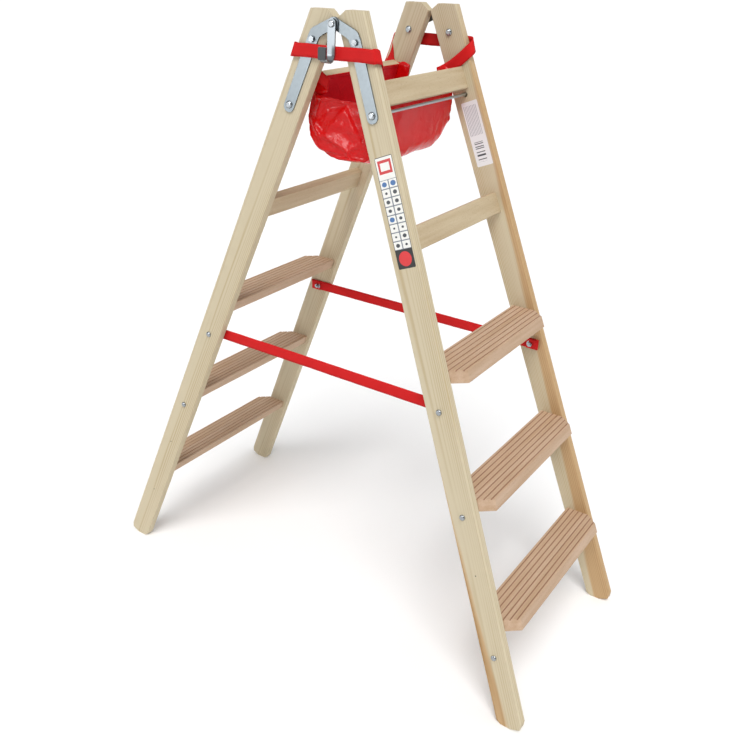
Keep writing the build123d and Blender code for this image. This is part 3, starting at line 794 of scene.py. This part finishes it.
def bead(name, points, radius, material, around=8):
    """A round welt along a line of points in millimetres."""
    path = smooth_run([Vector(p) * MM for p in points], 2)
    shape = bmesh.new()
    rings = []
    for i, place in enumerate(path):
        ahead = path[min(i + 1, len(path) - 1)] - path[max(i - 1, 0)]
        side = ahead.cross(Vector((0, 0, 1)))
        if side.length < 1e-9:
            side = Vector((1, 0, 0))
        side.normalize()
        lift = side.cross(ahead).normalized()
        swell = 1 + 0.25 * noise.noise(place * 130)
        rings.append([
            shape.verts.new(
                place + radius * swell * MM * (math.cos(a) * side + math.sin(a) * lift)
            )
            for a in (2 * math.pi * k / around for k in range(around))
        ])
    for first, second in zip(rings, rings[1:]):
        for k in range(around):
            n = (k + 1) % around
            shape.faces.new((first[k], first[n], second[n], second[k]))
    shape.faces.new(rings[0])
    shape.faces.new(rings[-1])
    bmesh.ops.recalc_face_normals(shape, faces=shape.faces)
    for face in shape.faces:
        face.smooth = True
    return meshed(name, shape, material)


def folds_flat(piece):
    """The piece is attached to the front frame, so it goes with it, and gets a mesh of its own."""
    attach(piece, "front_frame")
    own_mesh(piece)


folds_flat(bag)
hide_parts("tool_bag")

# At each corner of the mouth a gusset of the same fabric reaches up to the end of a band.
GUSSET = ((65, 1263, 74, 1232), (52, 1271, 56, 1232), (34, 1266.5, 37, 1240))  # upper y, z, lower y, z
for name, x_side in (("near", -1), ("far", 1)):
    for wall_name, y_side in (("front", -1), ("rear", 1)):
        corner = [
            (
                (x_side * (BAG_END + 0.2), y_side * y, high),
                (x_side * (BAG_END + 0.4), y_side * y_low, low),
            )
            for y, high, y_low, low in GUSSET
        ]
        gusset = ribbon(f"bag_{name}_{wall_name}_gusset", corner, BAG_SHEET, red_pvc, ripple=1.5)
        folds_flat(gusset)

# The welded corners stand up as a puckered cord of doubled fabric; the mouth has a thinner rolled hem.
WELT_RADIUS = {"weld": 1.7, "hem": 1.1}
for name, line in bag_edges.items():
    welt = bead(f"bag_{name}", line, WELT_RADIUS[name.split("_")[-1]], red_pvc)
    folds_flat(welt)

# A row of thread runs under the hem of each long wall, inside and outside, made by one tree of
# stitches that follows a line: each stitch is a short bead of thread laid along it.
STITCH_PITCH = 4.2 * MM
STITCH_LENGTH = 3.1 * MM
THREAD_RADIUS = 0.45 * MM


def stitch_tree():
    """Stitches laid along the edges of a line mesh."""
    tree = bpy.data.node_groups.new("sewn_stitches", "GeometryNodeTree")
    for name, kind in (
        ("Line", "NodeSocketGeometry"), ("Pitch", "NodeSocketFloat"),
        ("Stitch Length", "NodeSocketFloat"), ("Thread Radius", "NodeSocketFloat"),
        ("Thread", "NodeSocketMaterial"),
    ):
        tree.interface.new_socket(name=name, in_out="INPUT", socket_type=kind)
    tree.interface.new_socket(name="Stitches", in_out="OUTPUT", socket_type="NodeSocketGeometry")
    given = add_node(tree, "NodeGroupInput").outputs
    curve = add_node(tree, "GeometryNodeMeshToCurve", {"Mesh": given["Line"]})
    spots = add_node(tree, "GeometryNodeResampleCurve", {
        "Curve": curve.outputs["Curve"], "Length": given["Pitch"],
    }, mode="LENGTH")
    tangent = add_node(tree, "GeometryNodeInputTangent")
    turn = add_node(tree, "FunctionNodeAlignRotationToVector", {"Vector": tangent.outputs[0]}, axis="X")
    ball = add_node(tree, "GeometryNodeMeshUVSphere", {"Segments": 6, "Rings": 4, "Radius": 1.0})
    half = arithmetic(tree, "MULTIPLY", given["Stitch Length"], 0.5)
    size = add_node(tree, "ShaderNodeCombineXYZ", {
        "X": half, "Y": given["Thread Radius"], "Z": given["Thread Radius"],
    })
    stitch = add_node(tree, "GeometryNodeTransform", {
        "Geometry": ball.outputs["Mesh"], "Scale": size.outputs[0],
    })
    laid = add_node(tree, "GeometryNodeInstanceOnPoints", {
        "Points": spots.outputs["Curve"], "Instance": stitch.outputs["Geometry"],
        "Rotation": turn.outputs["Rotation"],
    })
    solid = add_node(tree, "GeometryNodeRealizeInstances", {"Geometry": laid.outputs["Instances"]})
    dyed = add_node(tree, "GeometryNodeSetMaterial", {
        "Geometry": solid.outputs["Geometry"], "Material": given["Thread"],
    })
    add_node(tree, "NodeGroupOutput", {"Stitches": dyed.outputs["Geometry"]})
    return tree


sewing = stitch_tree()
sewing_inputs = {item.name: item.identifier for item in sewing.interface.items_tree}


def sew(name, lines, thread):
    """Rows of stitches along lines of points given in metres, as one plain mesh."""
    shape = bmesh.new()
    for line in lines:
        corners = [shape.verts.new(place) for place in line]
        for first, second in zip(corners, corners[1:]):
            shape.edges.new((first, second))
    rows = meshed(name, shape)
    needle = rows.modifiers.new("stitches", "NODES")
    needle.node_group = sewing
    for key, value in (
        ("Pitch", STITCH_PITCH), ("Stitch Length", STITCH_LENGTH),
        ("Thread Radius", THREAD_RADIUS), ("Thread", thread),
    ):
        needle[sewing_inputs[key]] = value
    return finished(rows)


def spun_thread(name, code, dark):
    """Spun polyester thread: matt, its twist drawn as painted shade, in darker 0.6 mm bands along the
    stitch.
    """
    material, tree, shader = new_material(name, Roughness=0.8)
    place = add_node(tree, "ShaderNodeTexCoord").outputs["Object"]
    # painted shade: the darker bands stand in for the shade between the twisted plies
    twist_shade = add_node(tree, "ShaderNodeTexWave", {
        "Vector": place, "Scale": WAVE_PERIOD / (0.6 * MM), "Distortion": 0.0,
    }, wave_type="BANDS", bands_direction="DIAGONAL")
    tree.links.new(blended(tree, twist_shade.outputs["Fac"], dark, code), shader.inputs["Base Color"])
    return material


red_thread = spun_thread("red_polyester_thread", "C01A1E", "7E0A0E")
HEM_DEPTH = 6.0 * MM
hem_lines = []
for name, side in (("front_hem", -1), ("rear_hem", 1)):
    for face in (-1, 1):
        hem_lines.append([
            place * MM + Vector((0, face * BAG_SHEET * MM * 0.6 + side * 0.3 * HEM_DEPTH, -HEM_DEPTH))
            for place in bag_edges[name][2:-2]
        ])
hem_stitches = sew("bag_hem_stitches", hem_lines, red_thread)
folds_flat(hem_stitches)

# Each strap's folded end is sewn down with two rows across it.
STITCHED_Y = (300.0, 296.0)
STITCHED_X = 206.1
STITCHED_SHARE = 0.85  # of the strap's half width
for name, side in (("left", -1), ("right", 1)):
    rows = []
    for end in (-1, 1):
        for y in STITCHED_Y:
            rows.append([
                Vector((side * (STITCHED_X + STRAP_TILT * k), end * y, STRAP_Z - STRAP_HALF * k)) * MM
                for k in (-STITCHED_SHARE, 0.0, STITCHED_SHARE)
            ])
    strap_stitches = sew(f"{name}_strap_stitches", rows, red_thread)
    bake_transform(strap_stitches)


# --- Stickers ---------------------------------------------------------------
# Two plain paper stickers with no words: one outside the front left stile, with a red frame, rows
# of dots and a red disc on black, and one inside the front right stile, with grey lines and bars.
STICKER_RISE = 0.12
STICKER_CORNER = 2.5
STILE_THICK = 21.0
STILE_FACE = 181.0  # the outer face, from the middle of the ladder, level with the hinge


def stile_point(side, s, n, out):
    """A point on the front stile's outer face, in metres; out is the height above it in mm."""
    x = STILE_FACE + SPLAY * s + out
    return Vector((
        side * x,
        -(s * math.sin(LEAN) + n * math.cos(LEAN)),
        PIVOT_Z / MM - s * math.cos(LEAN) + n * math.sin(LEAN),
    )) * MM


def sticker(name, side, s_range, n_range, low, high, material):
    """A thin sheet with rounded corners; UV runs 0 to 1 across and down."""
    width, length, radius = n_range[1] - n_range[0], s_range[1] - s_range[0], STICKER_CORNER
    outline = []
    for across, down, turn in ((0, 0, 180), (1, 0, 270), (1, 1, 0), (0, 1, 90)):
        centre = (radius + across * (width - 2 * radius), radius + down * (length - 2 * radius))
        for k in range(6):
            angle = math.radians(turn + 90 * k / 5)
            outline.append((centre[0] + radius * math.cos(angle), centre[1] + radius * math.sin(angle)))
    shape = bmesh.new()
    uv_layer = shape.loops.layers.uv.new("UVMap")
    spots = {}
    sheets = []
    for height in (low, high):
        sheet = []
        for u, v in outline:
            corner = shape.verts.new(stile_point(side, s_range[0] + v, n_range[0] + u, height))
            spots[corner] = (u / width, v / length)
            sheet.append(corner)
        sheets.append(sheet)
    shape.faces.new(sheets[0])
    shape.faces.new(sheets[1])
    for k in range(len(outline)):
        n = (k + 1) % len(outline)
        shape.faces.new((sheets[0][k], sheets[0][n], sheets[1][n], sheets[1][k]))
    bmesh.ops.recalc_face_normals(shape, faces=shape.faces)
    for face in shape.faces:
        for loop in face.loops:
            loop[uv_layer].uv = spots[loop.vert]
    obj = meshed(name, shape, material)
    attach(obj, "front_frame")
    return obj


def between(tree, value, low, high):
    """1 where the value lies between low and high."""
    return arithmetic(
        tree, "MULTIPLY",
        arithmetic(tree, "GREATER_THAN", value, low), arithmetic(tree, "LESS_THAN", value, high),
    )


def use_sheet_paper():
    """A red frame, then rows of two cells with a grey or blue dot each, then a red disc on black."""
    material, tree, shader = new_material("printed_use_sticker", Roughness=0.35, Coat_Weight=0.2)
    uv = add_node(tree, "ShaderNodeTexCoord").outputs["UV"]
    axes = add_node(tree, "ShaderNodeSeparateXYZ", {0: uv})
    u, v = axes.outputs["X"], axes.outputs["Y"]
    grain = add_node(tree, "ShaderNodeTexNoise", {"Vector": uv, "Scale": 60.0})
    paint = blended(tree, grain.outputs["Fac"], "F4F3EF", "EAE9E4")
    grid_top, grid_foot, rows = 0.20, 0.825, 8
    below = arithmetic(tree, "SUBTRACT", v, grid_top)
    row = arithmetic(tree, "MULTIPLY", below, rows / (grid_foot - grid_top))
    column = arithmetic(tree, "MULTIPLY", u, 2.0)
    row_part, column_part = arithmetic(tree, "FRACT", row), arithmetic(tree, "FRACT", column)
    cell = add_node(tree, "ShaderNodeCombineXYZ", {
        0: arithmetic(tree, "FLOOR", column), 1: arithmetic(tree, "FLOOR", row),
    })
    chance = add_node(tree, "ShaderNodeTexWhiteNoise", {
        "Vector": cell.outputs[0],
    }, noise_dimensions="2D")
    in_grid = between(tree, v, grid_top, grid_foot)
    box = arithmetic(
        tree, "MULTIPLY", between(tree, row_part, 0.06, 0.94), between(tree, column_part, 0.06, 0.94)
    )
    line = arithmetic(tree, "MULTIPLY", in_grid, arithmetic(tree, "SUBTRACT", 1.0, box))
    paint = blended(tree, line, paint, "6D7680")
    squares = []
    for part in (row_part, column_part):
        off = arithmetic(tree, "ABSOLUTE", arithmetic(tree, "SUBTRACT", part, 0.5))
        squares.append(arithmetic(tree, "POWER", off, 2.0))
    reach = arithmetic(tree, "POWER", arithmetic(tree, "ADD", *squares), 0.5)
    size = ranged(tree, chance.outputs["Value"], 0.0, 1.0, 0.12, 0.3)
    dot = arithmetic(tree, "MULTIPLY", in_grid, arithmetic(tree, "LESS_THAN", reach, size))
    is_blue = arithmetic(tree, "GREATER_THAN", chance.outputs["Value"], 0.72)
    ink = blended(tree, is_blue, "3A4046", "3E6FA8")
    paint = blended(tree, dot, paint, ink)
    head = arithmetic(tree, "MULTIPLY", between(tree, v, 0.03, 0.15), between(tree, u, 0.12, 0.88))
    hollow = arithmetic(tree, "MULTIPLY", between(tree, v, 0.055, 0.125), between(tree, u, 0.24, 0.76))
    frame_mark = arithmetic(tree, "MULTIPLY", head, arithmetic(tree, "SUBTRACT", 1.0, hollow))
    paint = blended(tree, frame_mark, paint, "CC2A2E")
    middle = arithmetic(
        tree, "MULTIPLY", between(tree, u, 0.026, 0.974), between(tree, v, 0.006, 0.994)
    )
    paint = blended(tree, arithmetic(tree, "SUBTRACT", 1.0, middle), paint, "2A2C2F")
    foot = arithmetic(tree, "GREATER_THAN", v, grid_foot)
    paint = blended(tree, foot, paint, "1B1B1D")
    down = arithmetic(tree, "MULTIPLY", arithmetic(tree, "SUBTRACT", v, 0.912), 5.3)
    spread = arithmetic(tree, "SUBTRACT", u, 0.5)
    squares = [arithmetic(tree, "MULTIPLY", part, part) for part in (down, spread)]
    disc = arithmetic(tree, "LESS_THAN", arithmetic(tree, "ADD", *squares), 0.36 ** 2)
    paint = blended(tree, disc, paint, "D8262B")
    tree.links.new(paint, shader.inputs["Base Color"])
    return material


def data_sheet_paper():
    """Thin grey lines above a block of upright bars."""
    material, tree, shader = new_material("printed_data_sticker", Roughness=0.4, Coat_Weight=0.1)
    uv = add_node(tree, "ShaderNodeTexCoord").outputs["UV"]
    axes = add_node(tree, "ShaderNodeSeparateXYZ", {0: uv})
    u, v = axes.outputs["X"], axes.outputs["Y"]
    grain = add_node(tree, "ShaderNodeTexNoise", {"Vector": uv, "Scale": 50.0})
    paint = blended(tree, grain.outputs["Fac"], "EFEFF0", "E2E3E6")
    phase = arithmetic(tree, "FRACT", arithmetic(tree, "MULTIPLY", u, 11.0))
    lines = arithmetic(tree, "LESS_THAN", phase, 0.34)
    lines = arithmetic(tree, "MULTIPLY", lines, between(tree, v, 0.06, 0.52))
    lines = arithmetic(tree, "MULTIPLY", lines, between(tree, u, 0.09, 0.9))
    paint = blended(tree, lines, paint, "9DA1A8")
    step = arithmetic(tree, "FLOOR", arithmetic(tree, "MULTIPLY", v, 70.0))
    chance = add_node(tree, "ShaderNodeTexWhiteNoise", {"W": step}, noise_dimensions="1D")
    bars = arithmetic(tree, "GREATER_THAN", chance.outputs["Value"], 0.52)
    bars = arithmetic(tree, "MULTIPLY", bars, between(tree, v, 0.62, 0.93))
    bars = arithmetic(tree, "MULTIPLY", bars, between(tree, u, 0.18, 0.72))
    paint = blended(tree, bars, paint, "3B3F45")
    tree.links.new(paint, shader.inputs["Base Color"])
    return material


use_sheet = sticker("use_sheet", -1, (251, 464), (16.5, 56.5), 0.0, STICKER_RISE, use_sheet_paper())
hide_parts("use_label")
data_sheet = sticker(
    "data_sheet", 1, (193, 333), (18, 57), -STILE_THICK, -STILE_THICK - STICKER_RISE, data_sheet_paper()
)
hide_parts("data_label")
